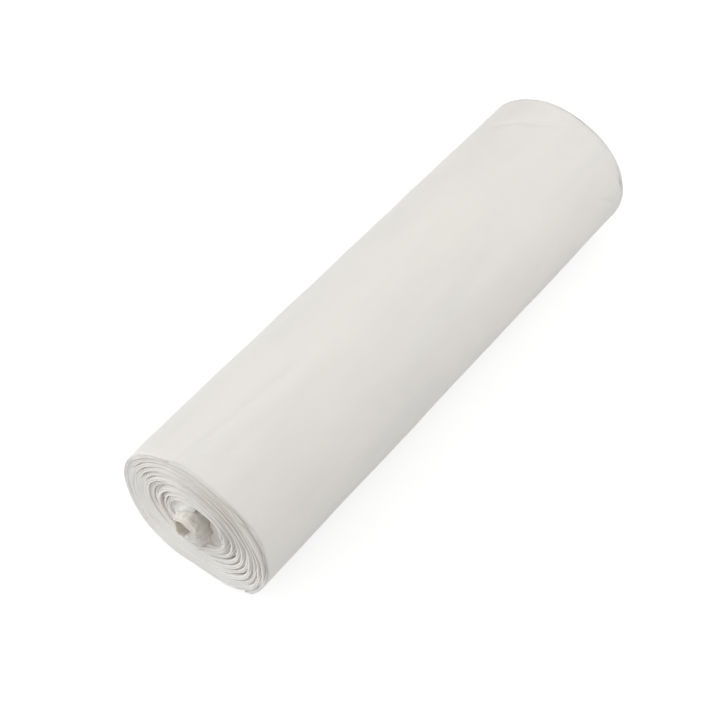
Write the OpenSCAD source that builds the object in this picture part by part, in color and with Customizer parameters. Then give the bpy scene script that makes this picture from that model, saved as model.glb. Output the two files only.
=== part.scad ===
// Coreless roll of bin bags. The bags are folded lengthwise into one long strip, and the
// strip is wound from a small inner tube out to its tail. The roll lies along Y on the flat
// spot that its own weight presses into it, with the end that shows the tube at -Y.

/* [Strip] */
// Folded width of the bags, which is the length of every turn along the roll
strip_w = 240; // [120:1:320]
// Thickness of the strip where it bends round the sides of the roll
side_t = 1.7; // [1:0.05:3]
// Thickness of the strip over the top, where its plies lie loosest
top_t = 2; // [1:0.05:3]
// Thickness of the strip underneath, where the turns press on it
under_t = 1.85; // [1:0.05:3]
// How far the rounded fold reaches in from each edge of the strip
fold_l = 1.6; // [0.5:0.1:4]

/* [Winding] */
// Full turns round the hollow, before the last pass over the top
turns = 9; // [3:1:11]
// Gap beside the first turn, at the sides of the roll
inner_gap = 0.85; // [0.2:0.05:2]
// Gap beside the last turn, at the sides of the roll
outer_gap = 0.35; // [0.1:0.05:2]
// Gap between the turns over the top
top_gap = 0.2; // [0.1:0.05:1]
// Gap between the turns underneath
under_gap = 0.2; // [0.1:0.05:1]
// Number of the turn that was wound slack
slack_turn = 3; // [1:1:8]
// Extra gap inside the slack turn, at the sides of the roll
slack_gap = 1; // [0:0.1:3]
// How far neighbouring turns stand in or out of line at the ends
edge_wander = 0.4; // [0:0.1:2]

/* [Rest and tail] */
// Width of the flat spot that the roll rests on
flat_w = 16; // [6:1:24]
// How far the tail reaches down the last side, in degrees
tail_turn = 55; // [20:1:60]
// Thickness of the tail's end
tail_t = 1; // [0.4:0.1:1.6]

/* [Hollow and tube] */
// Width of the hollow inside the first turn
hollow_w = 22; // [18:1:40]
// Height of the hollow inside the first turn
hollow_h = 17.4; // [16:0.2:36]
// Outer diameter of the small tube at the strip's inner end
tube_d = 9.8; // [7:0.2:11]
// Thickness of the strip in the tube's wall
tube_t = 0.9; // [0.5:0.05:1.2]
// Gap between the tube's wall and its overlapping inner end
tube_gap = 0.25; // [0.1:0.05:0.5]
// How far the tube lies to the left of the roll's middle
tube_left = 2.6; // [0:0.1:4]
// How far the tube lies below the roll's middle
tube_drop = 1.2; // [0:0.1:2]
// How far the tube stands out of the turns at the front end
tube_out = 4; // [0:0.5:12]

/* [Hidden] */

// The path of the strip is a chain of quarter ellipses. Each runs from one outermost point of
// a turn to the next, in the order left, top, right, underneath. Point 0 is the first one on
// the left, and the points before it are those of the tube.
tube_points = 5;
last_left = 4 * turns;
last_top = last_left + 1;
last_right = last_left + 2;
last_under = last_left - 1;
outward = [[-1, 0], [0, 1], [1, 0], [0, -1]];

// Straight pieces in a quarter turn
tube_steps = 7;
first_steps = 8;
last_steps = 14;

// Angle between the waves of neighbouring turns' ends
wander_phase = 150;

// Slopes of the points that round each fold of the strip's section
fold_angles = [90, 45, 0, -45, -90];

function side_of(i) = (i + 4 * tube_points) % 4;
function smooth(a) = let (c = min(max(a, 0), 1)) c * c * (3 - 2 * c);
function blend(a, b, share) = a + (b - a) * share;

// Half width of the roll at a point of the path on the left or the right
function half_width(i) =
  let (k = i / 4)
  let (all = turns + 0.5)
  let (gaps = inner_gap * k - (inner_gap - outer_gap) * k * k / (2 * all))
  let (slack = slack_gap * smooth(k - slack_turn + 1))
  (hollow_w + side_t) / 2 + side_t * k + gaps + slack;

// Height over the middle at the top of a turn, and depth under the middle at its lowest
function rise(i) = (hollow_h + top_t) / 2 + (top_t + top_gap) * i / 4;
function depth(i) = (hollow_h + under_t) / 2 + (under_t + under_gap) * i / 4;

// Half of the flat stretch under a turn, which fades out towards the hollow
function half_flat(i) = i < 0 ? 0 : flat_w / 2 * (i + 1) / last_left;

// Radius of the tube's middle line, a little less at each point inwards
function tube_r(i) = (tube_d - tube_t) / 2 + (tube_t + tube_gap) * (i + 1) / 4;

function tube_point(i) = [-tube_left, -tube_drop] + tube_r(i) * outward[side_of(i)];

// Outermost point where a quarter turn ends, and the one where the next starts
function end_point(i) =
  i < 0 ? tube_point(i)
  : side_of(i) == 0 ? [-half_width(i), 0]
  : side_of(i) == 1 ? [0, rise(i)]
  : side_of(i) == 2 ? [half_width(i), 0]
  : [half_flat(i), -depth(i)];
function start_point(i) =
  side_of(i) == 3 && i > 0 ? [-half_flat(i), -depth(i)] : end_point(i);

function thickness(i) =
  i < 0 ? tube_t
  : side_of(i) == 1 ? top_t
  : side_of(i) == 3 ? under_t
  : side_t;

// Share of the tube's shift that a turn still has
function tube_share(i) = 1 - smooth((i + 1) / 2);

// Shift of the strip along the roll
function edge_shift(i) =
  blend(edge_wander * sin(wander_phase * i / 4), -tube_out, tube_share(i));

// Thinning of the strip towards the tail's end
function tail_share(i) = smooth((i - last_right) * 90 / tail_turn);

// One place on the path: its point, outward direction, thickness and shift
function station(i, angle) =
  let (from = start_point(i))
  let (to = end_point(i + 1))
  let (u = outward[side_of(i)])
  let (v = outward[side_of(i + 1)])
  let (middle = u.x == 0 ? [from.x, to.y] : [to.x, from.y])
  let (a = norm(from - middle))
  let (b = norm(to - middle))
  let (point = middle + u * a * cos(angle) + v * b * sin(angle))
  let (normal = u * b * cos(angle) + v * a * sin(angle))
  let (along = i + angle / 90)
  let (t = blend(thickness(i), thickness(i + 1), pow(sin(angle), 2)))
  [point, normal / norm(normal), blend(t, tail_t, tail_share(along)), edge_shift(along)];

function steps(i) =
  i < 0 ? tube_steps : round(blend(first_steps, last_steps, i / last_right));

// A quarter that ends underneath keeps its own end, because a flat stretch follows it
stations = concat(
  [
    for (i = [-tube_points : last_right - 1])
      for (j = [0 : steps(i) - (side_of(i) == 2 && i > 0 ? 0 : 1)])
        station(i, 90 * j / steps(i))
  ],
  [
    for (j = [0 : steps(last_right)])
      station(last_right, tail_turn * j / steps(last_right))
  ]
);

// Section of the strip at a station, with a rounded fold at each edge
function section(s) =
  let (edges = [[-1, fold_angles], [1, -fold_angles]])
  [
    for (edge = edges)
      for (slope = edge[1])
        let (out = s[2] / 2 * sin(slope))
        let (y = edge[0] * (strip_w / 2 - fold_l * (1 - cos(slope))) + s[3])
        [s[0].x + s[1].x * out, y, s[0].y + s[1].y * out]
  ];

// Skin of a chain of sections: two triangles for each side between neighbours, and two ends
module sweep(sections) {
  n = len(sections[0]);
  rows = len(sections);
  sides = [
    for (r = [0 : rows - 2])
      for (c = [0 : n - 1])
        let (a = r * n + c)
        let (b = r * n + (c + 1) % n)
        each [[a, a + n, b + n], [a, b + n, b]]
  ];
  first = [for (c = [0 : n - 1]) c];
  last = [for (c = [n - 1 : -1 : 0]) (rows - 1) * n + c];
  polyhedron(points = [for (s = sections) each s], faces = concat(sides, [first, last]));
}

// Place of the box round the roll, so that it stands centred on the origin
shifts = [for (s = stations) s[3]];
middle_x = (half_width(last_right) - half_width(last_left)) / 2;
middle_y = (max(shifts) + min(shifts)) / 2;
base_z = -depth(last_under) - under_t / 2;

module bag_roll() {
  color([0.87, 0.86, 0.84])
    translate([-middle_x, -middle_y, -base_z])
      sweep([for (s = stations) section(s)]);
}

bag_roll();
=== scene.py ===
import math

import bpy
import numpy as np
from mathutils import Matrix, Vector, noise


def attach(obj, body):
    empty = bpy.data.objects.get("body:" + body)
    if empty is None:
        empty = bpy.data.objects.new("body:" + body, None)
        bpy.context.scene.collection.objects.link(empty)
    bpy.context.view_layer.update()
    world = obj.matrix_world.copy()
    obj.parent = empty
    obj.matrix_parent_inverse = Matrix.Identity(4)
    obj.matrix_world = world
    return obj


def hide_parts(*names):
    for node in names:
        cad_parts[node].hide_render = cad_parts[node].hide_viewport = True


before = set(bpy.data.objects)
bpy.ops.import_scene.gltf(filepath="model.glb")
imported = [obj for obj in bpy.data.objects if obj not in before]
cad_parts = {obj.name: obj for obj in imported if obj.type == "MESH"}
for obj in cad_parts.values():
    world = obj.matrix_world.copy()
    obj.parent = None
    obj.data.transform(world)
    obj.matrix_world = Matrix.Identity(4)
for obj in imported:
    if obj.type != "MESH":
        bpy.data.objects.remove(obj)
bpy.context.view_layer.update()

# Lengths are in millimetres and angles in degrees, if nothing else is said. A place along the strip is counted in
# quarter turns: 0 is the left of the first turn as seen from the near end (-Y), 1 the top, 2 the right, 3
# underneath, and so on outward. Negative places lie on the tube. Angles go round from the right over the top.

# Millimetres in metres
MM = 0.001
# Keeps a value off its limit
TINY = 1e-9


# ---- The strip's path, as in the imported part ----

STRIP_W = 240.0
SIDE_T, TOP_T, UNDER_T = 1.7, 2.0, 1.85
TURNS = 9
# To the last turn's right side
ALL_TURNS = TURNS + 0.5
INNER_GAP, OUTER_GAP, TOP_GAP, UNDER_GAP = 0.85, 0.35, 0.2, 0.2
SLACK_TURN, SLACK_GAP = 3, 1.0
EDGE_WANDER, WANDER_PHASE = 0.4, 150.0
FLAT_W, TAIL_TURN, TAIL_T = 16.0, 55.0, 1.0
HOLLOW_W, HOLLOW_H = 22.0, 17.4
TUBE_D, TUBE_T, TUBE_GAP = 9.8, 0.9, 0.25
TUBE_LEFT, TUBE_DROP, TUBE_OUT = 2.6, 1.2, 4.0
# Quarter turns of the tube
TUBE_POINTS = 5
LAST_LEFT = 4 * TURNS
LAST_RIGHT, LAST_UNDER = LAST_LEFT + 2, LAST_LEFT - 1
# Outward directions at the left, the top, the right and underneath
OUTWARD = ((-1, 0), (0, 1), (1, 0), (0, -1))
# Half of the share of the path that runs over the flat underneath
FLAT_SHARE = 0.02


def smooth(a):
    """Smooth step from 0 to 1."""
    c = min(max(a, 0.0), 1.0)
    return c * c * (3 - 2 * c)


def ramp(value, start, over):
    """Smooth step that starts at a value and is full that much further on, or back where over is negative."""
    return smooth((value - start) / over)


def blend(a, b, share):
    """Value a share of the way from a to b."""
    return a + (b - a) * share


def side_of(i):
    """Side of a whole place: 0 left, 1 top, 2 right, 3 underneath."""
    return (i + 4 * TUBE_POINTS) % 4


def half_width(i):
    """Half the width of the turn at a place on its left or right."""
    k = i / 4
    gaps = INNER_GAP * k - (INNER_GAP - OUTER_GAP) * k * k / (2 * ALL_TURNS)
    return (HOLLOW_W + SIDE_T) / 2 + SIDE_T * k + gaps + SLACK_GAP * smooth(k - SLACK_TURN + 1)


def rise(i):
    """Height of the turn at a place on top."""
    return (HOLLOW_H + TOP_T) / 2 + (TOP_T + TOP_GAP) * i / 4


def depth(i):
    """Depth of the turn at a place underneath."""
    return (HOLLOW_H + UNDER_T) / 2 + (UNDER_T + UNDER_GAP) * i / 4


def half_flat(i):
    """Half the width of the flat at a place underneath."""
    return 0.0 if i < 0 else FLAT_W / 2 * (i + 1) / LAST_LEFT


def end_point(i):
    """Point where the quarter turn before a whole place ends."""
    if i < 0:
        r = (TUBE_D - TUBE_T) / 2 + (TUBE_T + TUBE_GAP) * (i + 1) / 4
        u = OUTWARD[side_of(i)]
        return (-TUBE_LEFT + r * u[0], -TUBE_DROP + r * u[1])
    return ((-half_width(i), 0), (0, rise(i)), (half_width(i), 0), (half_flat(i), -depth(i)))[side_of(i)]


def start_point(i):
    """Point where the quarter turn after a whole place starts, which underneath is across the flat."""
    if side_of(i) == 3 and i > 0:
        return (-half_flat(i), -depth(i))
    return end_point(i)


def thickness(i):
    """Thickness of the strip at a whole place."""
    return TUBE_T if i < 0 else (SIDE_T, TOP_T, SIDE_T, UNDER_T)[side_of(i)]


def edge_shift(i):
    """Shift of the strip along the roll, where it wanders and where it stands out as the tube."""
    share = 1 - smooth((i + 1) / 2)
    return blend(EDGE_WANDER * math.sin(math.radians(WANDER_PHASE * i / 4)), -TUBE_OUT, share)


def station(along):
    """Place on the strip's path: its point, outward direction, thickness and shift along the roll."""
    under = round(along)
    if under > 0 and side_of(under) == 3 and abs(along - under) < FLAT_SHARE - TINY:
        # The straight run over the flat
        share = (along - under + FLAT_SHARE) / (2 * FLAT_SHARE)
        start, end = station(under - FLAT_SHARE), station(under + FLAT_SHARE)
        point = [blend(start[0][j], end[0][j], share) for j in (0, 1)]
        return point, (blend(start[1][0], end[1][0], share), -1.0), blend(start[2], end[2], share), start[3]
    i = min(math.floor(along), LAST_RIGHT)
    angle = math.radians(90 * (along - i))
    c, s = math.cos(angle), math.sin(angle)
    start, end = start_point(i), end_point(i + 1)
    u, v = OUTWARD[side_of(i)], OUTWARD[side_of(i + 1)]
    middle = (start[0], end[1]) if u[0] == 0 else (end[0], start[1])
    a, b = math.dist(start, middle), math.dist(end, middle)
    point = [middle[j] + u[j] * a * c + v[j] * b * s for j in (0, 1)]
    normal = [u[j] * b * c + v[j] * a * s for j in (0, 1)]
    size = math.hypot(*normal)
    t = blend(thickness(i), thickness(i + 1), s * s)
    t = blend(t, TAIL_T, smooth((along - LAST_RIGHT) * 90 / TAIL_TURN))
    return point, (normal[0] / size, normal[1] / size), t, edge_shift(along)


def angle_at(along):
    """Angle round the roll that the strip's outside faces at a place."""
    nx, nz = station(along)[1]
    return math.degrees(math.atan2(nz, nx))


MIDDLE_X = (half_width(LAST_RIGHT) - half_width(LAST_LEFT)) / 2
MIDDLE_Y = -1.8
BASE_Z = -depth(LAST_UNDER) - UNDER_T / 2
ROLL_END = LAST_RIGHT + TAIL_TURN / 90


def in_scene(x, y, z):
    """Point in metres on the frame's axes, for a point on the path's own."""
    return ((x - MIDDLE_X) * MM, (y - MIDDLE_Y) * MM, (z - BASE_Z) * MM)


# ---- Waves, marks round the roll, and where the film is calm ----

# Steepness of an angle's share towards a mark, and how many turns off still count as the same turn
FACING, SAME_TURN = 1.5, 0.25


def wave(x, seed):
    """Smooth line noise, mostly between -1 and 1."""
    return (math.sin(x + seed * 2.31) + 0.7 * math.sin(x * 2.37 + seed * 5.17 + 1.3)
            + 0.5 * math.sin(x * 4.93 + seed * 3.71 + 0.6)) / 1.6


def around(deg, marks):
    """Value at an angle, blended between marks (angle, value) that go once round."""
    deg = deg % 360
    for (a, va), (b, vb) in zip(marks, marks[1:] + [(marks[0][0] + 360, marks[0][1])]):
        for d in (deg, deg + 360):
            if a <= d <= b:
                return blend(va, vb, smooth((d - a) / (b - a)))
    return marks[0][1]


def away_from(deg, at):
    """Angle from a mark, between -180 and 180."""
    return (deg - at + 180) % 360 - 180


def toward(deg, at):
    """Share by which an angle faces a mark's way."""
    return smooth(FACING * math.cos(math.radians(deg - at)))


def from_mark(deg, k, number, at):
    """Angle from a mark on a turn, or None where the strip is on another turn."""
    away = away_from(deg, at)
    return away if abs(k - number - (180 - at - away) / 360) < SAME_TURN else None


# How loosely the plies lie at an end, by the angle round the roll
LOOSE_NEAR = [(2, 0.55), (20, 0.85), (45, 0.9), (66, 0.75), (88, 0.45), (118, 0.25), (143, 0.28), (175, 0.18),
              (205, 0.12), (250, 0.08), (295, 0.08), (322, 0.08), (343, 0.2)]
LOOSE_FAR = [(0, 0.5), (45, 0.4), (90, 0.15), (140, 0.5), (180, 0.6), (225, 0.3), (270, 0.12), (320, 0.4)]

# The turn from which the plies lie close together at the near end, by the angle, and over how many turns that starts
CALM_FROM = [(75, 12.0), (110, 8.5), (140, 7.5), (154, 5.0), (166, 3.4), (180, 2.9), (235, 2.6), (265, 2.8),
             (290, 4.5), (315, 6.2), (335, 9.2), (352, 12.0)]
CALM_OVER = 1.3

# Where each turn's middle and inner ply lie as one at the near end, and its outer ply stands back from them
MERGE_NEAR = [(35, 0.0), (280, 0.0), (305, 0.9), (350, 0.9)]

# Share of the last turn's outermost film that ends short of the near edge, by the angle
LAST_BACK = [(0, 1.0), (45, 1.0), (75, 0.5), (105, 0.0), (318, 0.0), (345, 0.8)]

# Voids where a turn's outer plies stand back from the near end: number of the turn, counted on the left, angle,
# half width in degrees, depth
VOIDS = [(1, 128, 14, 0.8), (1, 188, 32, 1.8), (2, 158, 25, 1.6), (3, 142, 9, 1.0), (4, 141, 9, 1.2),
         (5, 140, 9, 1.3), (6, 141, 8, 1.2), (7, 144, 7, 0.8), (1, -12, 20, 2.0), (2, -30, 8, 1.0),
         (2, -2, 20, 1.8)]
# Pads of film that fill the gap outside a turn: turn, angle, half width in degrees, height, how far behind the
# near end they start
PADS = [(0, 165, 40, 0.45, 1.2), (1, 187, 34, 0.9, 1.3), (2, 170, 28, 1.5, 1.2), (3, 172, 40, 0.45, 0.0),
        (1, -25, 25, 0.3, 0.8), (2, -20, 22, 0.55, 1.0)]


def calm(deg, k, end):
    """Share of calm at a place of the near end, where the plies lie close together."""
    return ramp(k, around(deg, CALM_FROM), CALM_OVER) if end < 0 else 0.0


def void_depth(deg, k):
    """How far the turns' outer plies stand back in the voids at a place of the near end."""
    total = 0.0
    for number, at, half, deep in VOIDS:
        away = from_mark(deg, k, number, at)
        if away is not None:
            total += deep * math.exp(-(away / half) ** 2)
    return total


# ---- The plies that show at the strip's two ends ----

# How a ply's distance from the edge waves along the strip: share that stays, share that waves, wavelength, and step
# of the seed
OUTER_WAVES, RIM_WAVES, INNER_WAVES = (0.8, 0.35, 9, 0), (0.75, 0.4, 7, 4), (1, 1, 13, 6)
RIM_RIPPLES, INNER_RIPPLES, LAST_RIPPLES = (1, 1, 6, 5), (1, 1, 5, 8), (1, 1, 11, 2)
TUBE_OUTER, TUBE_RIM_WAVES, TUBE_INNER = (0.35, 0.2, 3, 0), (1, 1, 4, 6), (0.5, 0.3, 3, 1)
NEAR_SEED, FAR_SEED = 3.0, 11.0
# The distances where the strip is loosest, those of the ripples, and the middle ply's at the tube
OUTER_BACK, RIM_BACK, INNER_BACK = 3.6, 2.6, 0.3
RIM_RIPPLE, INNER_RIPPLE, LAST_RIPPLE = 0.1, 0.16, 0.14
TUBE_RIM = 0.35
# Looseness at which the middle ply stands back too, and the share of looseness that calm takes away
RIM_LOOSE, CALM_LOSS = (0.2, 0.25), 0.85
# The middle ply's share of a void, and the depth and turns where it takes it
VOID_RIM, VOID_RIM_DEPTH, VOID_RIM_TURN = 0.8, (0.9, 0.5), (2.9, -0.3)
# Merged plies: how far the outer one stands back, how much of that calm takes away, and up to which turn
MERGE_BACK, MERGE_CALM, MERGE_TURN = 0.7, 0.8, (8.6, -0.5)
# The last turn: its length along the path, over which it starts, and how far its outermost film ends short
LAST_L, LAST_OVER, LAST_SHORT = 4.4, 0.3, 1.75
# Lower right of the first turn: angle, half width, turns where it starts and ends, and the three plies' distances
FIRST_AT, FIRST_HALF, FIRST_START, FIRST_END = -48, 30, (0.4, 0.2), (1.6, -0.4)
FIRST_BACK = (0.15, 1.6, 2.6)
# The tail's rounded corners: distance from the edge, and length along the path
TIP_BACK, TIP_L = 0.35, 0.12
# Where the plies stop looking like the tube's, and the least distance of the outer and the inner one
TUBE_PLIES, LEAST_BACK = (-0.4, 1.2), 0.05


def plies(along, path, deg, end):
    """How far the outer, middle and inner ply stand back from the strip's edge at one end."""
    near = end < 0
    k = along / 4
    seed = NEAR_SEED if near else FAR_SEED

    def waves(stays, moves, length, step):
        return stays + moves * wave(path / length, seed + step)

    loose = around(deg, LOOSE_NEAR if near else LOOSE_FAR)
    loose *= 1 - CALM_LOSS * calm(deg, k, end)
    outer = loose * OUTER_BACK * waves(*OUTER_WAVES)
    rim = loose * RIM_BACK * waves(*RIM_WAVES) * ramp(loose, *RIM_LOOSE) + RIM_RIPPLE * waves(*RIM_RIPPLES)
    inner = INNER_RIPPLE * waves(*INNER_RIPPLES) + INNER_BACK * loose * waves(*INNER_WAVES) / 2
    if near:
        void = void_depth(deg, k)
        outer += void
        # The wide voids take the middle ply with them
        rim += VOID_RIM * void * ramp(void, *VOID_RIM_DEPTH) * ramp(k, *VOID_RIM_TURN)
        outer += MERGE_BACK * around(deg, MERGE_NEAR) * (1 - MERGE_CALM * calm(deg, k, end)) * ramp(k, *MERGE_TURN)
    # The last turn's outer ply reaches the edge, but for the near end's film that ends short
    short = LAST_SHORT * around(deg, LAST_BACK) if near else 0.0
    last = ramp(along, ROLL_END - LAST_L, LAST_OVER)
    outer = blend(outer, LAST_RIPPLE * waves(*LAST_RIPPLES) + short, last)
    if near:
        # At the lower right of the first turn only the outer ply reaches the edge
        lower = math.exp(-(away_from(deg, FIRST_AT) / FIRST_HALF) ** 2)
        first = ramp(k, *FIRST_END) * lower * ramp(k, *FIRST_START)
        outer, rim, inner = (blend(v, back, first) for v, back in zip((outer, rim, inner), FIRST_BACK))
    tip = TIP_BACK * smooth((along - ROLL_END + TIP_L) / TIP_L)
    outer, rim, inner = outer + tip, rim + tip, inner + tip
    tube = 1 - ramp(along, *TUBE_PLIES)
    outer = blend(outer, waves(*TUBE_OUTER), tube)
    inner = blend(inner, waves(*TUBE_INNER), tube)
    rim = blend(rim, TUBE_RIM * waves(*TUBE_RIM_WAVES), tube)
    return max(outer, LEAST_BACK), max(rim, 0.0), max(inner, LEAST_BACK)


# Shares of the strip's thickness where its plies meet, from the outer face to the inner one
PLY_EDGES = (1.0, 0.7, 0.42, 0.0)
PLIES = len(PLY_EDGES) - 1
# Each ply's edge is a rounded lobe: the angles of its points, and how far it reaches
LOBE_ANGLES = (90, 42, 0, -42, -90)
LOBE_REACH = 0.26
EDGE_POINTS = PLIES * len(LOBE_ANGLES) + PLIES - 1
# Grooves between the plies: most width and share of the thickness, depth, and more depth where the plies lie loose
GROOVE_W, GROOVE_SHARE, GROOVE_DEEP, GROOVE_LOOSE = 0.2, 0.1, 0.45, 0.5
TUBE_GROOVE = 0.5
# What calm takes away from the grooves' width and depth and from the lobes
CALM_WIDTH, CALM_DEPTH = 0.5, 0.75


def edge_profile(along, path, deg, t, end):
    """Points (offset outward, distance from the edge) down one end of the strip, from the outer to the inner face."""
    back = plies(along, path, deg, end)
    quiet = max(calm(deg, along / 4, end), around(deg, MERGE_NEAR) if end < 0 and along > 0 else 0.0)
    groove = min(GROOVE_W, GROOVE_SHARE * t) * (1 - CALM_WIDTH * quiet)
    if along < 0:
        groove *= TUBE_GROOVE
    points = []
    for p in range(PLIES):
        high = (PLY_EDGES[p] - 0.5) * t - (groove / 2 if p else 0)
        low = (PLY_EDGES[p + 1] - 0.5) * t + (groove / 2 if p < PLIES - 1 else 0)
        c, h = (high + low) / 2, (high - low) / 2
        for a in LOBE_ANGLES:
            s = math.radians(a)
            points.append((c + h * math.sin(s), back[p] + LOBE_REACH * (1 - CALM_WIDTH * quiet) * (1 - math.cos(s))))
        if p < PLIES - 1:
            cut = GROOVE_DEEP + (0.0 if along < 0 else GROOVE_LOOSE * around(deg, LOOSE_NEAR))
            deep = max(back[p], back[p + 1]) + cut * (1 - CALM_DEPTH * quiet)
            points.append(((PLY_EDGES[p + 1] - 0.5) * t, deep))
    return points


# ---- How the soft strip leaves its path ----

# How much the near end draws in at the outermost turn, by the angle, over which length of the roll
PINCH_NEAR = [(0, 0.0), (105, 0.0), (135, 0.6), (180, 0.7), (215, 0.0)]
PINCH_L, PINCH_POWER = 11.0, 1.5
# How far the outer turns' edges stand out at the ends, by the angle, and from which turn on
OUT_NEAR = [(0, 1.9), (35, 1.6), (65, 0.8), (100, 0.0), (200, 0.0), (230, 0.5), (265, 0.9), (310, 0.9),
            (335, 1.4)]
OUT_FAR = [(0, 0.2), (30, 0.4), (90, 0.4), (130, 0.0), (300, 0.0)]
OUT_TURNS = (4, 4)
# How much calm plies swell, and how much they lie level
CALM_SWELL, CALM_LEVEL = 0.2, 0.8
# How much the strip swells to close the gaps at the near end, by the angle, and over how many turns that starts
FILL_NEAR = [(20, 0.0), (92, 0.0), (118, 0.2), (170, 0.22), (215, 0.1), (250, 0.0), (285, 0.0), (310, 0.22),
             (345, 0.24)]
FILL_TURNS = 0.6
# The innermost turns swell more at their lower right: by how much, its angle, and up to which turn
FILL_MORE, FILL_MORE_AT, FILL_MORE_TURN = 2, -35, (2.1, -0.4)
# Turns on each side of the slack one that don't swell
FILL_SLACK = 0.45
# The strip's inner end thins out against the tube's wall: from which place inward, from which place along the roll
# to the near end, and what is left of its section
SLIM_ALONG, SLIM_Y = (-4.3, -0.6), (-100, -15)
SLIM_LEFT, SLIM_OUT_T, SLIM_OUT = 0.35, 0.32, 0.42
# The tail's end thins out inward: over which length, and what is left of its section
TAIL_L, TAIL_LEFT, TAIL_IN_T = 0.1, 0.4, 0.45
# Pads: the length over which their front rises, and from which place along the roll they reach to the near end
PAD_FRONT, PAD_Y = 1.5, (-90, -15)
# The strip leaves the tube behind the crumpled film: places along the strip, the shift wanted there, and from which
# place along the roll to the near end
LEAVE_AT, LEAVE_SHIFT = [-1.35, -1.0, -0.6, 0.0, 1.0], [-4.0, -3.5, 0.3, 0.1, 0.1]
LEAVE_Y = (-60, -50)
# Crumpled plies under the tube: angle, half width, turn, half width in turns, and how far they stand out
CRUMPLE_AT, CRUMPLE_HALF, CRUMPLE_TURN, CRUMPLE_TURNS, CRUMPLE_OUT = -94, 17, 1.9, 1.1, 1.3
# Their waves: height, degrees, share of a turn, seed
CRUMPLE_WAVES, WAVE_DEGREES, WAVE_TURNS, CRUMPLE_SEED = 0.6, 6, 0.5, 4.0

# The tube's end: where the strip's path stops being tube, and from which place along the roll it is shaped
TUBE_STOPS, TUBE_SHAPED_Y = (-1.2, 1.6), -60
# Radius of the tube's mouth against its own, by the angle round the tube, where it starts, and its shift in x and z
MOUTH = [(19, 1.05), (42, 1.04), (67, 1.10), (89, 1.25), (114, 1.30), (157, 1.22), (201, 1.25), (233, 1.55),
         (262, 1.12), (290, 0.84), (338, 0.75)]
MOUTH_Y = (-110, -9)
MOUTH_SHIFT = (0.8, -1.5)
# Radius of the tube just inside the hollow against its own, and its place
COLLAR, COLLAR_Y, COLLAR_L = 1.1, -111, 7
# Lumps of the tube's end: height against the radius, degrees and length of a wave, seed
LUMPS = ((0.05, 21, 5, 2.0), (0.03, 9, -3, 6.0))


def tube_place(px, pz, along, y):
    """Place of a point of the tube, which is out of round at its mouth and widest just inside the hollow."""
    tube = 1 - ramp(along, *TUBE_STOPS)
    if tube <= 0 or y > TUBE_SHAPED_Y:
        return px, pz
    mouth = ramp(y, *MOUTH_Y) * tube
    collar = math.exp(-((y - COLLAR_Y) / COLLAR_L) ** 2) * tube
    dx, dz = px + TUBE_LEFT, pz + TUBE_DROP
    at = math.degrees(math.atan2(dz, dx))
    lump = sum(high * wave(at / round_ + y / long, seed) for high, round_, long, seed in LUMPS)
    grow = blend(1.0, around(at, MOUTH), mouth) * blend(1.0, COLLAR, collar) + lump * max(mouth, collar)
    return (dx * grow - TUBE_LEFT + MOUTH_SHIFT[0] * mouth, dz * grow - TUBE_DROP + MOUTH_SHIFT[1] * mouth)


def swelling(deg, turn, t, share):
    """Thickness of the strip at the near end against its own, from its pinch and the gaps that it closes."""
    swell = 1 - around(deg, PINCH_NEAR) * share * 2 * (turn / ALL_TURNS) / ALL_TURNS / t
    swell += CALM_SWELL * calm(deg, turn, -1) * share
    more = FILL_MORE * ramp(turn, *FILL_MORE_TURN) * toward(deg, FILL_MORE_AT)
    most = (1 + more) * (1 - math.exp(-((turn - SLACK_TURN) / FILL_SLACK) ** 2))
    return swell + around(deg, FILL_NEAR) * share * most * smooth(turn / FILL_TURNS)


def pad_height(deg, turn, y):
    """Height of the pads on the strip's outside at a place of the near end."""
    height = 0.0
    for number, at, half, high, behind in PADS:
        away = from_mark(deg, turn, number, at)
        if away is not None:
            inside = smooth((y + STRIP_W / 2 - behind) / PAD_FRONT + 0.5) * ramp(y, *PAD_Y)
            height += high * math.exp(-(away / half) ** 4) * inside
    return height


def placed(st, along, deg, offset, y):
    """Point in metres for an offset outward from the strip's middle and a place along the roll."""
    (px, pz), (nx, nz), t, shift = st
    near = y < 0
    turn = max(along, 0) / 4
    share = smooth((abs(y) - (STRIP_W / 2 - PINCH_L)) / PINCH_L) ** PINCH_POWER
    off = offset
    if near:
        off *= swelling(deg, turn, t, share)
        off -= around(deg, PINCH_NEAR) * share * (turn / ALL_TURNS) ** 2
    off = blend(off, off * SLIM_LEFT + t * SLIM_OUT_T + SLIM_OUT, ramp(along, *SLIM_ALONG) * ramp(y, *SLIM_Y))
    off = blend(off, off * TAIL_LEFT - t * TAIL_IN_T, smooth((along - ROLL_END + TAIL_L) / TAIL_L))
    if near and offset > 0:
        off += pad_height(deg, turn, y) * 2 * offset / t
    out = around(deg, OUT_NEAR if near else OUT_FAR) * share * ramp(turn, *OUT_TURNS)
    if near:
        shift *= 1 - CALM_LEVEL * calm(deg, turn, -1) * share
        if along < LEAVE_AT[-1]:
            wanted = float(np.interp(along, LEAVE_AT, LEAVE_SHIFT))
            out += (shift - wanted) * ramp(y, *LEAVE_Y)
        away = away_from(deg, CRUMPLE_AT)
        lump = math.exp(-(away / CRUMPLE_HALF) ** 2 - ((turn - CRUMPLE_TURN) / CRUMPLE_TURNS) ** 2)
        waves = CRUMPLE_WAVES * wave(away / WAVE_DEGREES + turn / WAVE_TURNS, CRUMPLE_SEED)
        out += lump * share * (CRUMPLE_OUT + waves)
    x, z = tube_place(px + nx * off, pz + nz * off, along, y)
    return in_scene(x, y + shift + (-out if near else out), z)


# ---- Wrinkles on the roll's outside, as a drop inward ----

# Radius that turns an angle round the roll into a distance
SKIN_R = 31.0

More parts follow.
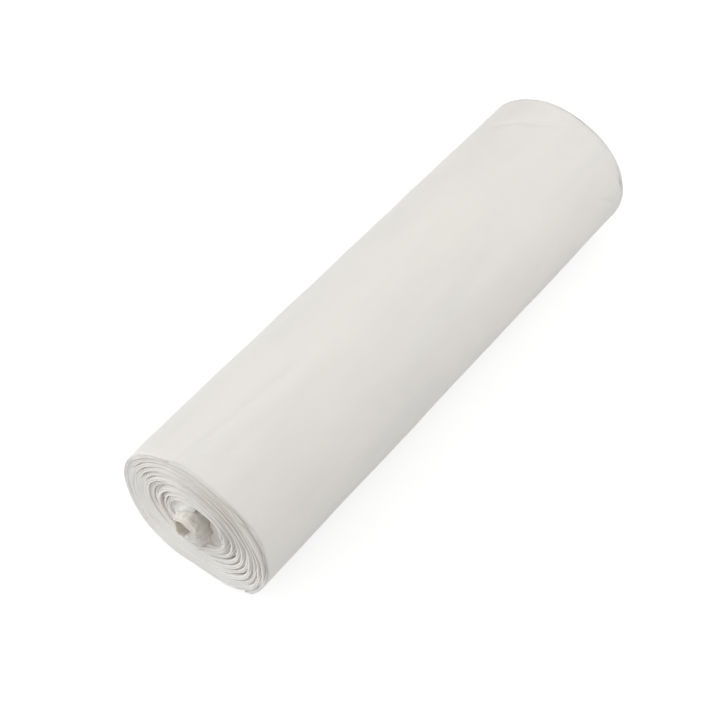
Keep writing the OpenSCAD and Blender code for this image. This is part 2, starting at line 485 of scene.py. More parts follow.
# Creases: depth, half width, and their route as (angle, distance from the near end)
CREASES = [
    (0.42, 1.5, [(99.5, 2), (97, 12), (94.5, 30), (92, 52), (90.5, 72)]),
    (-0.16, 1.6, [(88.5, 24), (85.5, 36), (82.5, 50), (80.5, 66)]),
    (0.16, 0.9, [(90, 6), (84, 13), (78, 22)]),
    (0.12, 0.8, [(80, 5), (74, 12), (69, 20)]),
    (0.22, 0.9, [(97, 125), (91, 122), (84, 117)]),
    (0.16, 0.55, [(58, 133.2), (50, 133), (44, 133.6), (35, 132.4)]),
    (0.08, 0.8, [(96, 131), (82, 132.5), (70, 133.5), (58, 133.2)]),
    (0.34, 1.2, [(136, 213), (122, 218), (108, 221.5), (95, 225), (86, 229), (76, 233)]),
    (-0.14, 1.1, [(128, 213), (112, 218), (98, 221.5)]),
    (0.3, 1.0, [(24, 220), (17, 224), (10, 229), (2, 233)]),
    (0.14, 2.2, [(12, 30), (10, 62), (6.5, 80), (8, 98)]),
    (-0.12, 2.6, [(25, 12), (22, 60), (21, 110), (24, 150)]),
    (0.1, 1.6, [(106, 150), (103, 168), (99, 176), (90, 186)]),
    (0.12, 1.4, [(112, 165), (104, 182), (98, 196)]),
]

# Dimples: angle, distance from the near end, radius, depth
DIMPLES = [(61.6, 14, 2.2, 0.16), (33, 73, 3.0, 0.2), (32.5, 94, 2.4, 0.15), (70, 133, 2.2, 0.16),
           (63, 166, 3.0, 0.2), (34, 170, 2.4, 0.16), (64, 200, 2.4, 0.14), (68, 221, 2.6, 0.18),
           (51, 222, 2.4, 0.16), (91, 225, 2.4, 0.18), (84, 164, 2.0, 0.14), (103, 141, 2.4, 0.12),
           (92, 85, 2.2, 0.1), (88, 187, 2.6, -0.1), (47, 30, 3.0, 0.08), (120, 60, 3.5, 0.08),
           (12, 120, 3.0, 0.12), (128, 110, 3.5, 0.1), (18, 190, 3.0, 0.14), (52, 110, 4.0, 0.08)]

# Drop everywhere, factor on the creases' and dimples' depths, steepness of a crease's ends, and the least drop
SKIN_BASE, CREASE_DEPTH, CREASE_ENDS, SKIN_LEAST = 0.38, 1.5, 5, 0.02
# Slow waves all over: height, length round the roll, length along it, seed
SKIN_WAVES = [(0.26, 16, 34, 2.0), (0.12, 6, 11, 7.0), (0.03, 2.6, 5, 4.0)]
# Gathers at the two ends: the same, and how far they reach in
GATHER, GATHER_ROUND, GATHER_ALONG, GATHER_SEED, GATHER_L = 0.16, 2.4, 14, 9.0, 7


def near_line(a, y, route):
    """Distance of each point to a route, and how far along the route its nearest place is (0 to 1)."""
    pts = np.array([(SKIN_R * math.radians(d), l) for d, l in route])
    length = np.concatenate([[0], np.cumsum(np.hypot(*np.diff(pts, axis=0).T))])
    best = np.full(a.shape, np.inf)
    share = np.zeros(a.shape)
    for j in range(len(pts) - 1):
        d = pts[j + 1] - pts[j]
        s = np.clip(((a - pts[j, 0]) * d[0] + (y - pts[j, 1]) * d[1]) / (d @ d), 0, 1)
        dist = np.hypot(a - pts[j, 0] - s * d[0], y - pts[j, 1] - s * d[1])
        closer = dist < best
        best = np.where(closer, dist, best)
        share = np.where(closer, (length[j] + s * (length[j + 1] - length[j])) / length[-1], share)
    return best, share


def skin_drop(deg, y):
    """Drop of the outside at angles and distances from the near end, as arrays."""
    a = SKIN_R * np.radians((deg + 90) % 360 - 90)
    drop = np.full(a.shape, SKIN_BASE)
    for deep, half, route in CREASES:
        dist, share = near_line(a, y, route)
        fade = np.clip(np.minimum(share, 1 - share) * CREASE_ENDS, 0, 1)
        drop = drop + CREASE_DEPTH * deep * np.exp(-(dist / half) ** 2) * fade
    for at, l, r, deep in DIMPLES:
        dist2 = (a - SKIN_R * math.radians(at)) ** 2 + (y - l) ** 2
        drop = drop + CREASE_DEPTH * deep * np.exp(-dist2 / (r * r))
    waves = np.empty(a.shape)
    for idx in np.ndindex(a.shape):
        x, l = a[idx], y[idx]
        slow = sum(high * noise.noise(Vector((x / round_, l / long, seed))) for high, round_, long, seed in SKIN_WAVES)
        fade = math.exp(-min(l, STRIP_W - l) / GATHER_L)
        waves[idx] = slow + GATHER * fade * noise.noise(Vector((x / GATHER_ROUND, l / GATHER_ALONG, GATHER_SEED)))
    return np.maximum(drop + waves, SKIN_LEAST)


# ---- Painted shade in the gaps and in the hollow ----

# Painted shade in the gaps between the plies and turns, by the angle at the near end, and at the far end
GAP_NEAR = [(0, 0.8), (40, 0.85), (78, 0.8), (110, 0.45), (135, 0.5), (155, 0.1), (200, 0.06), (260, 0.05),
            (300, 0.25), (330, 0.55)]
GAP_FAR = 0.6
# What calm takes away from it, how dark the voids are painted, and from which depth on
CALM_GAP, VOID_GAP, VOID_FULL = 0.7, 0.6, 1.5
# A ply's painted shade for each millimetre that it stands back, more at its sides, and a groove's painted shade
BACK_SHADE, SIDE_SHADE, GROOVE_SHADE = 0.28, 0.22, 0.85
# Painted shade over the whole of the turns' edges at the near end, by the angle, and from which turn on
EDGE_NEAR = [(0, 0.06), (30, 0.3), (60, 0.66), (85, 0.6), (110, 0.22), (140, 0.03), (330, 0.0)]
EDGE_TURNS = (1, 3)
# The same painted shade for the innermost turns at the lower right: how dark, angle, and up to which place along the
# strip
INMOST_SHADE, INMOST_AT, INMOST_ALONG = 0.32, -50, (9.2, -1.6)
# The painted shade on the strip's faces deepens inward from an end: over which length, and how dark it starts
FACE_L, FACE_START = 3.5, 0.2
# Share of painted shade left by the outermost face, in so many points of the near edge
RIM_SHADE, RIM_POINTS = 0.6, 6
# The strip's start is the hollow's wall: its share of the hollow's painted shade, where that stops, and where the
# tube's edge does
WALL_ALONG, WALL_STOPS, EDGE_STOPS = (3.6, -1.2), 3, -0.6
# Shares of painted shade inside the tube and on its edge, and where its inside stops
TUBE_INSIDE_SHADE, TUBE_EDGE_SHADE, INSIDE_STOPS = 0.4, 0.5, -0.8
# The hollow's painted shade, how far out of the turns' ends it starts, its share at the left, and where the rest
# begins
HOLLOW_PAINTED_SHADE, HOLLOW_OUT, HOLLOW_LEFT_SHADE, HOLLOW_LEFT = 0.36, (0.6, -6), 0.3, (-6, 7)


def hollow_shade(x, out):
    """Painted shade inside the hollow, where little light comes, by the distance out of the turns' ends."""
    return HOLLOW_PAINTED_SHADE * ramp(out, *HOLLOW_OUT) * blend(HOLLOW_LEFT_SHADE, 1.0, ramp(x, *HOLLOW_LEFT))


def edge_shades(along, path, deg, end):
    """Painted shade of the points of the strip's edge at one end, from the outer to the inner face."""
    back = plies(along, path, deg, end)
    gap = around(deg, GAP_NEAR) if end < 0 else GAP_FAR
    gap *= 1 - CALM_GAP * calm(deg, along / 4, end)
    all_over = 0.0
    if end < 0:
        gap = max(gap, VOID_GAP * smooth(void_depth(deg, along / 4) / VOID_FULL))
        all_over = around(deg, EDGE_NEAR) * ramp(along / 4, *EDGE_TURNS)
        if along > 0:
            all_over += INMOST_SHADE * ramp(along, *INMOST_ALONG) * toward(deg, INMOST_AT)
    shades = []
    for p in range(PLIES):
        for a in LOBE_ANGLES:
            tone = gap * min(1.0, BACK_SHADE * back[p] + SIDE_SHADE * (abs(a) == 90))
            shades.append(max(all_over, tone))
        if p < PLIES - 1:
            shades.append(max(all_over, gap * GROOVE_SHADE))
    return shades


def ring_shades(along, path, deg, outer_y, outermost):
    """Painted shade of a ring's points: 0 at the rims, up to 1 deep in the gaps."""
    near = edge_shades(along, path, deg, -1)[::-1]
    far = edge_shades(along, path, deg, 1)

    def face(y):
        inward = smooth((STRIP_W / 2 - abs(y)) / FACE_L + FACE_START)
        return inward * (around(deg, GAP_NEAR) if y < 0 else GAP_FAR)

    def wall(y, edge):
        return hollow_shade(station(along)[0][0], -(y + STRIP_W / 2) - edge) if y < 0 else 1.0

    outer, inner = [face(y) for y in outer_y], [face(y) for y in INNER_Y]
    if outermost:
        outer = [0.0] * len(outer_y)
        near[-RIM_POINTS:] = [v * RIM_SHADE for v in near[-RIM_POINTS:]]
    if along < WALL_STOPS:
        share = ramp(along, *WALL_ALONG)
        edge = TUBE_OUT if along < EDGE_STOPS else 0
        inner = [blend(v, wall(y, edge), share) for v, y in zip(inner, INNER_Y)]
    if along < INSIDE_STOPS:
        inner = [TUBE_INSIDE_SHADE * v if y < 0 else v for v, y in zip(inner, INNER_Y)]
    if along < 0:
        outer = [wall(y, edge_shift(along)) for y in outer_y]
        near = [TUBE_EDGE_SHADE * v for v in near]
    return near + outer + far + inner


# ---- The roll's mesh ----

# The last turn starts here, under the tail, with finer rings
JOIN = ROLL_END - 4.25
# Places along the roll of a ring's points on the strip's outside and inside
COARSE_Y = [-118.2, -116.0, -110.0, -80.0, 0.0, 80.0, 112.0, 118.0]
INNER_Y = COARSE_Y[::-1]
FINE_Y = sorted([-117.5 + 0.75 * j for j in range(30)] + [-94.5 + 2.4 * j for j in range(80)]
                + [98.5 + 1.0 * j for j in range(21)])
# Distance between the rings by the place along the strip, and between the last turn's
SPACING_AT, SPACING = [-5, 0, 12, 34], [0.8, 1.3, 1.8, 1.9]
LAST_SPACING = 1.15
PATH_SAMPLES = 4000
# The wrinkles grow in from the join over this length, and end this far from the edges
GROW_L, SKIN_EDGE = 0.25, 0.4
# Shares of the outside's drop that the points of the strip's edge take, from the outer face on
EDGE_DROPS = [1, 1, 1, 0.4, 0.4] + [0] * (EDGE_POINTS - 5)
# The tube's beige tone: where it ends along the strip, and over which length
BEIGE_TO, BEIGE_L = -0.3, 0.9


def resampled(start, stop, spacing):
    """Values along the path from start to stop, evenly spaced by distance, with their path lengths."""
    fine = np.linspace(start, stop, PATH_SAMPLES)
    pts = np.array([station(a)[0] for a in fine])
    steps = np.hypot(*np.diff(pts, axis=0).T)
    length = np.concatenate([[0], np.cumsum(steps)])
    weight = np.concatenate([[0], np.cumsum(steps / spacing((fine[1:] + fine[:-1]) / 2))])
    n = max(2, round(weight[-1]) + 1)
    even = np.interp(np.linspace(0, weight[-1], n), weight, fine)
    return even, np.interp(even, fine, length)


def ring(along, path, outer_y, drops):
    """Points of one section of the strip: its near edge, outside, far edge and inside."""
    st = station(along)
    t, deg, half = st[2], angle_at(along), STRIP_W / 2
    near, far = (zip(edge_profile(along, path, deg, t, end), EDGE_DROPS) for end in (-1, 1))
    cells = [(o - drops[0] * part, -half + b) for (o, b), part in reversed(list(near))]
    cells += [(t / 2 - drop, y) for drop, y in zip(drops[1:-1], outer_y)]
    cells += [(o - drops[-1] * part, half - b) for (o, b), part in far]
    cells += [(-t / 2, y) for y in INNER_Y]
    return [placed(st, along, deg, o, y) for o, y in cells]


def skin_grid(alongs):
    """Drops of the outside for rings at places along the strip, each from the near edge to the far one."""
    ys = [SKIN_EDGE] + [y + STRIP_W / 2 for y in FINE_Y] + [STRIP_W - SKIN_EDGE]
    return skin_drop(*np.meshgrid([angle_at(a) for a in alongs], ys, indexing="ij"))


def bands(first, rows, n):
    """Faces between rings of n points that follow each other from the first point on."""
    return [(a + c, a + n + c, a + n + (c + 1) % n, a + (c + 1) % n)
            for a in range(first, first + (rows - 1) * n, n) for c in range(n)]


def joint(last, first, coarse_n, fine_n):
    """Faces between the last coarse ring and the first fine one, one for each step of the coarse ring."""
    picks = [min(range(len(FINE_Y)), key=lambda q: abs(FINE_Y[q] - y)) for y in COARSE_Y]
    after = EDGE_POINTS + len(FINE_Y)
    marks = (list(range(EDGE_POINTS)) + [EDGE_POINTS + q for q in picks]
             + [after + q for q in range(EDGE_POINTS + len(INNER_Y))] + [fine_n])
    faces = []
    for m in range(coarse_n):
        chain = [first + b % fine_n for b in range(marks[m], marks[m + 1] + 1)]
        faces.append(tuple([last + m] + chain + [last + (m + 1) % coarse_n]))
    return faces


def build_roll():
    """The strip as one closed mesh, with its points' beige tone and painted shade."""
    inner_a, inner_len = resampled(-TUBE_POINTS, JOIN, lambda a: np.interp(a, SPACING_AT, SPACING))
    outer_a, outer_len = resampled(JOIN, ROLL_END, lambda a: LAST_SPACING)
    outer_len = outer_len + inner_len[-1]
    drops = skin_grid(outer_a)
    coarse_n = 2 * EDGE_POINTS + len(COARSE_Y) + len(INNER_Y)
    fine_n = 2 * EDGE_POINTS + len(FINE_Y) + len(INNER_Y)
    coarse_rows, fine_rows = len(inner_a), len(outer_a) - 1
    verts, shades = [], []
    for a, l in zip(inner_a, inner_len):
        verts += ring(a, l, COARSE_Y, [0.0] * (len(COARSE_Y) + 2))
        shades += ring_shades(a, l, angle_at(a), COARSE_Y, False)
    for a, l, row in zip(outer_a[1:], outer_len[1:], drops[1:]):
        verts += ring(a, l, FINE_Y, row * smooth((a - JOIN) / GROW_L))
        shades += ring_shades(a, l, angle_at(a), FINE_Y, True)
    first = coarse_rows * coarse_n
    faces = bands(0, coarse_rows, coarse_n) + joint(first - coarse_n, first, coarse_n, fine_n)
    faces += bands(first, fine_rows, fine_n)
    faces.append(tuple(range(coarse_n)))
    faces.append(tuple(reversed(range(len(verts) - fine_n, len(verts)))))
    tones = list(np.repeat(np.clip((BEIGE_TO - inner_a) / BEIGE_L, 0, 1), coarse_n)) + [0.0] * (fine_rows * fine_n)
    return verts, faces, tones, shades


# ---- Crumpled film between the tube and the first turn at the near end ----

# Each sheet has rows of points from its near edge into the hollow: (x, z) from the roll's middle, and how far they
# stand out of the turns' ends
ARCH = [
    [(-11.6, -0.8, -1.4), (-10.9, -3.4, -0.9), (-9.6, -5.4, 0.2), (-8.0, -4.6, 1.3), (-7.0, -2.4, 2.1),
     (-6.5, -0.2, 2.8), (-4.4, 2.5, 3.3), (-1.7, 3.0, 3.4), (0.3, 2.1, 3.4), (1.9, 0.6, 3.4), (3.1, -1.2, 3.3),
     (3.2, -3.3, 3.1), (2.2, -5.4, 2.2)],
    [(-11.8, -0.4, -3.2), (-11.0, -3.2, -2.9), (-10.0, -5.0, -2.2), (-8.8, -4.2, -1.2), (-7.7, -1.6, -0.4),
     (-6.7, 1.1, 0.4), (-4.5, 3.4, 0.9), (-1.9, 4.0, 1.0), (0.5, 3.4, 1.0), (2.6, 1.7, 0.9), (4.1, -0.8, 0.7),
     (4.3, -3.2, 0.3), (3.8, -5.6, -0.8)],
    [(-12.2, 1.0, -9.0), (-11.6, -2.0, -9.0), (-10.8, -4.8, -9.0), (-9.8, -5.0, -9.0), (-8.8, -2.4, -9.0),
     (-7.4, 1.6, -9.0), (-5.4, 3.9, -9.0), (-2.4, 4.9, -9.0), (0.4, 4.4, -9.0), (2.9, 2.6, -9.0),
     (4.4, 0.0, -9.0), (4.8, -2.8, -8.0), (4.2, -5.6, -6.0)],
]
POCKET = [
    [(-8.2, 7.3, -1.3), (-6.5, 8.5, -1.6), (-4.3, 9.5, -1.6), (-1.2, 10.1, -1.4), (2.0, 10.0, -2.4)],
    [(-10.5, 4.6, -1.3), (-8.0, 5.2, -2.0), (-5.2, 6.0, -1.9), (-2.4, 6.6, -0.9), (0.8, 6.9, -2.0)],
    [(-11.6, 1.0, -1.2), (-9.6, 1.6, -1.9), (-6.9, 2.7, -1.2), (-4.4, 4.2, 0.0), (-0.6, 4.3, -1.0)],
    [(-11.3, -2.6, -1.2), (-10.1, -2.2, -1.4), (-8.3, -0.9, -0.3), (-6.4, 1.3, 0.8), (-3.4, 3.1, 0.2)],
    [(-10.2, -5.2, -1.7), (-9.6, -4.7, -1.6), (-8.6, -3.2, -1.0), (-7.2, -0.9, 0.0), (-5.2, 1.4, -0.6)],
]
APRON = [
    [(-3.8, -9.0, 1.8), (-1.2, -7.1, 2.2), (0.8, -5.0, 2.3), (2.8, -3.6, 1.2), (5.0, -2.8, -4.2)],
    [(-3.8, -10.4, 1.8), (-0.6, -8.8, 2.2), (2.2, -7.0, 1.7), (4.4, -6.0, -0.3), (7.2, -5.4, -4.2)],
    [(-4.2, -12.6, 1.0), (-0.8, -12.2, 1.5), (2.4, -10.8, 1.0), (4.8, -9.6, -0.8), (7.6, -9.2, -3.8)],
    [(-4.6, -15.4, -0.4), (-1.0, -15.8, 0.0), (2.6, -14.6, -0.4), (5.2, -13.0, -1.2), (7.4, -11.8, -3.4)],
]
PLUG = [
    [(1.2, 8.8, -9.0), (6.5, 7.8, -7.5), (10.2, 5.8, -6.0), (13.0, 3.0, -4.6)],
    [(0.6, 2.4, -6.5), (5.4, 1.8, -5.2), (9.8, 1.2, -4.2), (13.2, -0.2, -3.4)],
    [(0.2, -2.8, -4.4), (4.8, -3.0, -3.2), (9.4, -3.6, -2.8), (13.0, -4.0, -2.2)],
    [(-0.6, -7.2, -2.8), (3.8, -7.4, -2.2), (7.8, -7.8, -2.0), (11.4, -7.4, -1.6)],
    [(-0.6, -11.2, -2.8), (3.2, -11.2, -2.2), (6.8, -10.6, -1.8), (10.0, -9.8, -1.4)],
]
# The sheets: rows, points across and deep, thickness, crumple, seed, beige tone by x, and painted shade by x and
# the distance out of the turns' ends
SHEETS = [
    (ARCH, 66, 34, 0.6, 0.7, 1.0, lambda x: ramp(x, -9.5, 2.5), hollow_shade),
    (POCKET, 40, 34, 0.45, 0.3, 5.0, lambda x: 0.1, lambda x, out: 0.1 + 0.28 * ramp(x, -5.5, -3)),
    (APRON, 40, 34, 0.5, 0.6, 8.0, lambda x: 0.25 + 0.4 * ramp(x, 2, 3), lambda x, out: 0.55 * ramp(x, 0.5, 4)),
    (PLUG, 34, 34, 0.5, 0.7, 3.0, lambda x: 0.5 + 0.4 * ramp(x, 5, -4), lambda x, out: 0.95),
]
# Crumples: their lengths across and out of the ends, step of the seed between axes, and the finer ones' share
# and frequency
CRUMPLE_L, CRUMPLE_OUT_L, CRUMPLE_STEP, FINER, FINER_PACE = 2.3, 3.4, 9, 0.4, 2.7
# A sheet's border is calmer: the share of crumple that stays, the share that grows in, and over how many points
BORDER_STAYS, BORDER_GROWS, BORDER_POINTS = 0.35, 0.65, 5
# How far the rounded border reaches, as a share of the thickness
BORDER_REACH = 0.4


def curve(points, n):
    """n points on a smooth curve through the given ones."""
    p = np.array(points, dtype=float)
    p = np.vstack([2 * p[0] - p[1], p, 2 * p[-1] - p[-2]])
    out = []
    for s in np.linspace(0, len(points) - 1 - TINY, n):
        i, u = int(s), s - int(s)
        a, b, c, d = p[i:i + 4]
        square, cube = 2 * a - 5 * b + 4 * c - d, 3 * b - a - 3 * c + d
        out.append(0.5 * (2 * b + (c - a) * u + square * u * u + cube * u ** 3))
    return np.array(out)


def crumpled(grid, crumple, seed):
    """Moves the points of a sheet's grid, less towards its border."""
    across, deep = grid.shape[:2]
    for idx in np.ndindex(across, deep):
        x, z, out = grid[idx]
        inside = min(idx[0], across - 1 - idx[0], idx[1], deep - 1 - idx[1])
        size = crumple * (BORDER_STAYS + BORDER_GROWS * min(1.0, inside / BORDER_POINTS))
        for axis in range(3):
            place = Vector((x / CRUMPLE_L + seed, z / CRUMPLE_L + CRUMPLE_STEP * axis, out / CRUMPLE_OUT_L))
            grid[idx][axis] += size * (noise.noise(place) + FINER * noise.noise(place * FINER_PACE))


def film_sheet(rows, across, deep, thick, crumple, seed):
    """Closed thin sheet through rows of points, with a rounded edge all round."""
    lines = [curve(row, across) for row in rows]
    grid = np.array([curve([line[j] for line in lines], deep) for j in range(across)])
    crumpled(grid, crumple, seed)
    du, dv = np.gradient(grid, axis=0), np.gradient(grid, axis=1)
    normal = np.cross(du, dv)
    normal /= np.linalg.norm(normal, axis=2)[..., None]
    verts, faces = [], []
    for layer in (grid + normal * thick / 2, grid - normal * thick / 2):
        verts += [in_scene(x, -STRIP_W / 2 - out, z) for x, z, out in layer.reshape(-1, 3)]

    def at(layer, i, j):
        return (layer * across + i) * deep + j

    for i in range(across - 1):
        for j in range(deep - 1):
            faces.append((at(0, i, j), at(0, i + 1, j), at(0, i + 1, j + 1), at(0, i, j + 1)))
            faces.append((at(1, i, j), at(1, i, j + 1), at(1, i + 1, j + 1), at(1, i + 1, j)))
    # The rounded edge: one more row of points, a little outside the middle of the sheet's border
    border = ([(i, 0) for i in range(across)] + [(across - 1, j) for j in range(1, deep)]
              + [(i, deep - 1) for i in range(across - 2, -1, -1)] + [(0, j) for j in range(deep - 2, 0, -1)])
    first = len(verts)
    for i, j in border:
        outward = (du[i, j] * ((i == across - 1) - (i == 0)) / (np.linalg.norm(du[i, j]) + TINY)
                   + dv[i, j] * ((j == deep - 1) - (j == 0)) / (np.linalg.norm(dv[i, j]) + TINY))
        x, z, out = grid[i, j] + outward * thick * BORDER_REACH
        verts.append(in_scene(x, -STRIP_W / 2 - out, z))
    for b in range(len(border)):
        e = (b + 1) % len(border)
        (i, j), (i2, j2) = border[b], border[e]
        faces.append((at(0, i, j), first + b, first + e, at(0, i2, j2)))
        faces.append((at(1, i2, j2), first + e, first + b, at(1, i, j)))
    return verts, faces


def outward_faces(verts, faces):
    """Faces of a closed mesh, turned round if they face inward."""
    co = np.array(verts)
    fans = np.array([(face[0], b, c) for face in faces for b, c in zip(face[1:], face[2:])])
    volume = np.einsum("ij,ij->", co[fans[:, 0]], np.cross(co[fans[:, 1]], co[fans[:, 2]]))
    return [tuple(reversed(face)) for face in faces] if volume < 0 else faces


def make_mesh(name, verts, faces):
    """Object with a smooth mesh in the scene."""
    mesh = bpy.data.meshes.new(name)
    mesh.from_pydata(verts, [], faces)
    mesh.shade_smooth()
    obj = bpy.data.objects.new(name, mesh)
    bpy.context.scene.collection.objects.link(obj)
    return obj


verts, faces, tones, shades = build_roll()
faces = outward_faces(verts, faces)
for rows, across, deep, thick, crumple, seed, tone, shade in SHEETS:
    sheet, sides = film_sheet(rows, across, deep, thick, crumple, seed)
    faces += [tuple(len(verts) + v for v in face) for face in outward_faces(sheet, sides)]
    verts += sheet
    places = [(x / MM + MIDDLE_X, -STRIP_W / 2 - MIDDLE_Y - y / MM) for x, y, z in sheet]
    tones += [tone(x) for x, out in places]
    shades += [shade(x, out) for x, out in places]
roll = make_mesh("bag_roll_film", verts, faces)
# Per-point attributes: the tube's beige tone, and the painted shade of the gaps and the hollow
for name, values in (("tube_tone", tones), ("painted_shade", shades)):
    attribute = roll.data.attributes.new(name, "FLOAT", "POINT")
    attribute.data.foreach_set("value", np.array(values, dtype=np.float32))


# ---- Materials ----

# Film: its two milky tones, faint patches and streaks, the tube's two beige tones, and two of painted shade for the
# gaps and the hollow
MILKY, MILKY_GREY = (0.775, 0.743, 0.698, 1), (0.728, 0.708, 0.682, 1)
PATCH, STREAK = (0.80, 0.768, 0.715, 1), (0.79, 0.762, 0.727, 1)
BEIGE, BEIGE_PALE = (0.745, 0.703, 0.615, 1), (0.79, 0.748, 0.668, 1)
SHADE_DARK, SHADE_PALE = (0.44, 0.410, 0.36, 1), (0.50, 0.468, 0.42, 1)
FILM_SHADER = {"IOR": 1.5, "Specular IOR Level": 0.35, "Subsurface Weight": 0.4,
               "Subsurface Radius": (1.0, 0.95, 0.85), "Subsurface Scale": 0.0022}
# Noise: scale, stretch, detail and roughness
CLOUD_NOISE = (26, (1, 0.35, 1), 3.0, 0.5)
PATCH_NOISE = (75, (1, 0.5, 1), 2.0, 0.5)
STREAK_NOISE = (240, (1, 0.06, 1), 2.0, 0.5)
GLOSS_NOISE = (60, (1, 0.5, 1), 3.0, 0.5)
CRINKLE_NOISE = (420, (1, 0.7, 1), 4.0, 0.55)
DRAWN_NOISE = (900, (1, 0.05, 1), 2.0, 0.5)
# The middle and the wide part of a noise's range
MIDDLE, WIDE = (0.35, 0.65), (0.3, 0.7)
# The most that shows of the patches, the streaks, the pale painted shade and the dark painted shade
PATCH_MOST, STREAK_MOST, SHADE_PALE_MOST, SHADE_DARK_MOST = 0.45, 0.35, 0.6, 0.75
ROUGH_LEAST, ROUGH_MOST = 0.42, 0.56
# Fine crinkles: the drawn lines' share, their strength, and their height in metres
DRAWN_SHARE, CRINKLE_STRENGTH, CRINKLE_HEIGHT = 0.4, 0.35, 0.00022


def new_material(name):
    mat = bpy.data.materials.new(name)
    mat.use_nodes = True
    mat.node_tree.nodes.clear()
    return mat, mat.node_tree.nodes, mat.node_tree.links


def film_material():
    """Milky translucent film, beige on the tube, with painted shade deep in the gaps and the hollow, and fine
    crinkles.
    """
    mat, nodes, links = new_material("film")
    out = nodes.new("ShaderNodeOutputMaterial")
    shader = nodes.new("ShaderNodeBsdfPrincipled")
    links.new(shader.outputs[0], out.inputs[0])
    for socket, value in FILM_SHADER.items():
        shader.inputs[socket].default_value = value
    place = nodes.new("ShaderNodeTexCoord")

    def noise_at(scale, stretch, detail, rough):
        mapping = nodes.new("ShaderNodeMapping")
        mapping.inputs["Scale"].default_value = stretch
        links.new(place.outputs["Object"], mapping.inputs["Vector"])
        tex = nodes.new("ShaderNodeTexNoise")
        for socket, value in (("Scale", scale), ("Detail", detail), ("Roughness", rough)):
            tex.inputs[socket].default_value = value
        links.new(mapping.outputs[0], tex.inputs["Vector"])
        return tex.outputs["Fac"]

    def mixed(fac, a, b):
        mix = nodes.new("ShaderNodeMix")
        mix.data_type = "RGBA"
        for socket, value in ((mix.inputs[0], fac), (mix.inputs[6], a), (mix.inputs[7], b)):
            if isinstance(value, tuple):
                socket.default_value = value
            else:
                links.new(value, socket)
        return mix.outputs[2]

    def ranged(value, low, high, to_low, to_high):
        node = nodes.new("ShaderNodeMapRange")
        for socket, limit in zip(node.inputs[1:5], (low, high, to_low, to_high)):
            socket.default_value = limit
        links.new(value, node.inputs[0])
        return node.outputs[0]

    def attribute_at(name):
        node = nodes.new("ShaderNodeAttribute")
        node.attribute_name = name
        return node.outputs["Fac"]

    cloud = ranged(noise_at(*CLOUD_NOISE), *MIDDLE, 0, 1)
    milky = mixed(cloud, MILKY, MILKY_GREY)
    milky = mixed(ranged(noise_at(*PATCH_NOISE), *MIDDLE, 0, PATCH_MOST), milky, PATCH)
    streak = ranged(noise_at(*STREAK_NOISE), *WIDE, 0, 1)
    milky = mixed(ranged(streak, 0, 1, 0, STREAK_MOST), milky, STREAK)
    film = mixed(attribute_at("tube_tone"), milky, mixed(cloud, BEIGE, BEIGE_PALE))
    # Painted shade: a dark beige-grey that the film takes on deep in the gaps and the hollow, by a per-point attribute
    deep = mixed(ranged(cloud, 0, 1, 0, SHADE_PALE_MOST), SHADE_DARK, SHADE_PALE)
    film = mixed(ranged(attribute_at("painted_shade"), 0, 1, 0, SHADE_DARK_MOST), film, deep)
    links.new(film, shader.inputs["Base Color"])
    links.new(ranged(noise_at(*GLOSS_NOISE), *WIDE, ROUGH_LEAST, ROUGH_MOST), shader.inputs["Roughness"])

    add = nodes.new("ShaderNodeMath")
    add.operation = "ADD"
    links.new(noise_at(*CRINKLE_NOISE), add.inputs[0])
    links.new(ranged(noise_at(*DRAWN_NOISE), 0, 1, 0, DRAWN_SHARE), add.inputs[1])
    bump = nodes.new("ShaderNodeBump")
    bump.inputs["Strength"].default_value = CRINKLE_STRENGTH
    bump.inputs["Distance"].default_value = CRINKLE_HEIGHT
    links.new(add.outputs[0], bump.inputs["Height"])
    links.new(bump.outputs[0], shader.inputs["Normal"])
    return mat


roll.data.materials.append(film_material())
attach(roll, "root")
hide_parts("bag_roll")


# ---- Floor, light and camera, in metres ----

FLOOR_HALF = 6.0
# The floor's colour as the object sees it, and as the camera sees it, with the glow that makes it white
FLOOR_COLOUR, SEEN_COLOUR, SEEN_GLOW = (0.55, 0.55, 0.55, 1), (0.45, 0.45, 0.45, 1), 0.66
WORLD_COLOUR, WORLD_STRENGTH = (1.0, 0.99, 0.967, 1), 0.55
# Lamps: name, place, target, size, power in watts, colour
LAMPS = [
    ("key", (-0.92, -0.55, 0.8), (0, 0, 0.03), 0.9, 8.3, (0.935, 0.965, 1.0)),
    ("back", (0.66, 0.62, 0.6), (0, 0.05, 0.03), 0.8, 5.2, (0.96, 0.98, 1.0)),
    ("front", (-0.1, -1.2, 0.42), (0, 0, 0.03), 0.9, 4.2, (0.935, 0.96, 1.0)),
]
# The camera's place and the way it looks, its lens and sensor in millimetres, and the nearest distance that it sees
CAMERA_PLACE, CAMERA_WAY = (0.2554, -0.3533, 0.5281), (-0.3899, 0.5108, -0.7662)
CAMERA_LENS, CAMERA_SENSOR, CAMERA_NEAREST = 82.94, 36.0, 0.01


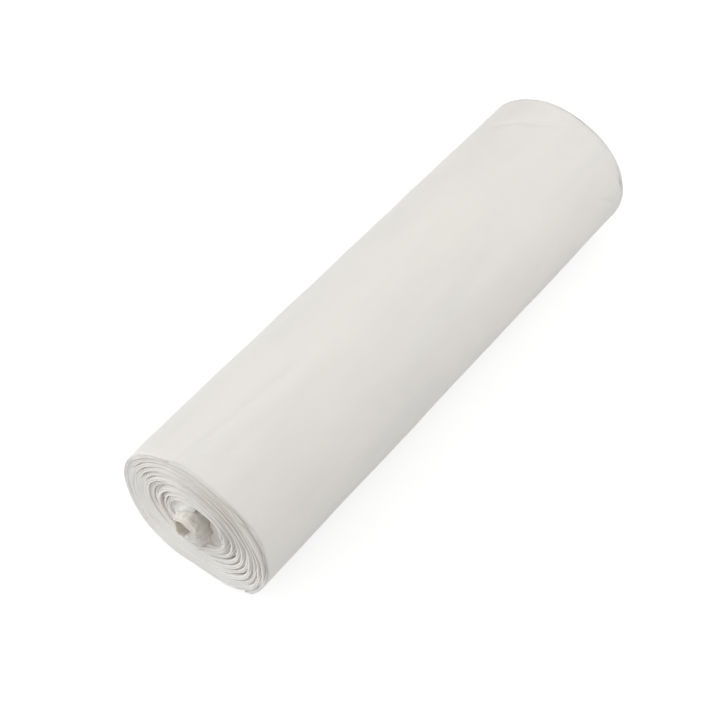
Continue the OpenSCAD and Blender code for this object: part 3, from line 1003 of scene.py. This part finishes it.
def floor_material():
    """Pale floor that the camera sees as white, with the object's shadow on it."""
    mat, nodes, links = new_material("floor")
    out = nodes.new("ShaderNodeOutputMaterial")
    plain = nodes.new("ShaderNodeBsdfDiffuse")
    plain.inputs["Color"].default_value = FLOOR_COLOUR
    seen = nodes.new("ShaderNodeBsdfDiffuse")
    seen.inputs["Color"].default_value = SEEN_COLOUR
    glow = nodes.new("ShaderNodeEmission")
    glow.inputs["Color"].default_value = (1, 1, 1, 1)
    glow.inputs["Strength"].default_value = SEEN_GLOW
    both = nodes.new("ShaderNodeAddShader")
    links.new(seen.outputs[0], both.inputs[0])
    links.new(glow.outputs[0], both.inputs[1])
    path = nodes.new("ShaderNodeLightPath")
    rays = path.outputs["Is Camera Ray"]
    for name in ("Is Glossy Ray", "Is Transmission Ray"):
        most = nodes.new("ShaderNodeMath")
        most.operation = "MAXIMUM"
        links.new(rays, most.inputs[0])
        links.new(path.outputs[name], most.inputs[1])
        rays = most.outputs[0]
    mix = nodes.new("ShaderNodeMixShader")
    links.new(rays, mix.inputs[0])
    links.new(plain.outputs[0], mix.inputs[1])
    links.new(both.outputs[0], mix.inputs[2])
    links.new(mix.outputs[0], out.inputs[0])
    return mat


def turned_to(way):
    """Rotation of a lamp or camera that looks a given way."""
    return Vector(way).to_track_quat("-Z", "Y").to_euler()


def area_light(name, place, target, size, power, colour):
    data = bpy.data.lights.new(name, "AREA")
    data.shape = "SQUARE"
    data.size = size
    data.energy = power
    data.color = colour
    lamp = bpy.data.objects.new(name, data)
    lamp.location = place
    lamp.rotation_euler = turned_to(Vector(target) - Vector(place))
    bpy.context.scene.collection.objects.link(lamp)


corners = [(FLOOR_HALF * x, FLOOR_HALF * y, 0) for x, y in ((-1, -1), (1, -1), (1, 1), (-1, 1))]
floor = make_mesh("floor", corners, [(0, 1, 2, 3)])
floor.data.materials.append(floor_material())

scene = bpy.context.scene
world = bpy.data.worlds.new("studio")
scene.world = world
world.use_nodes = True
background = world.node_tree.nodes["Background"]
background.inputs["Color"].default_value = WORLD_COLOUR
background.inputs["Strength"].default_value = WORLD_STRENGTH

for lamp in LAMPS:
    area_light(*lamp)

camera_data = bpy.data.cameras.new("camera")
camera_data.lens = CAMERA_LENS
camera_data.sensor_width = CAMERA_SENSOR
camera_data.clip_start = CAMERA_NEAREST
camera = bpy.data.objects.new("camera", camera_data)
camera.location = CAMERA_PLACE
camera.rotation_euler = turned_to(CAMERA_WAY)
scene.collection.objects.link(camera)
scene.camera = camera
scene.view_settings.view_transform = "Standard"
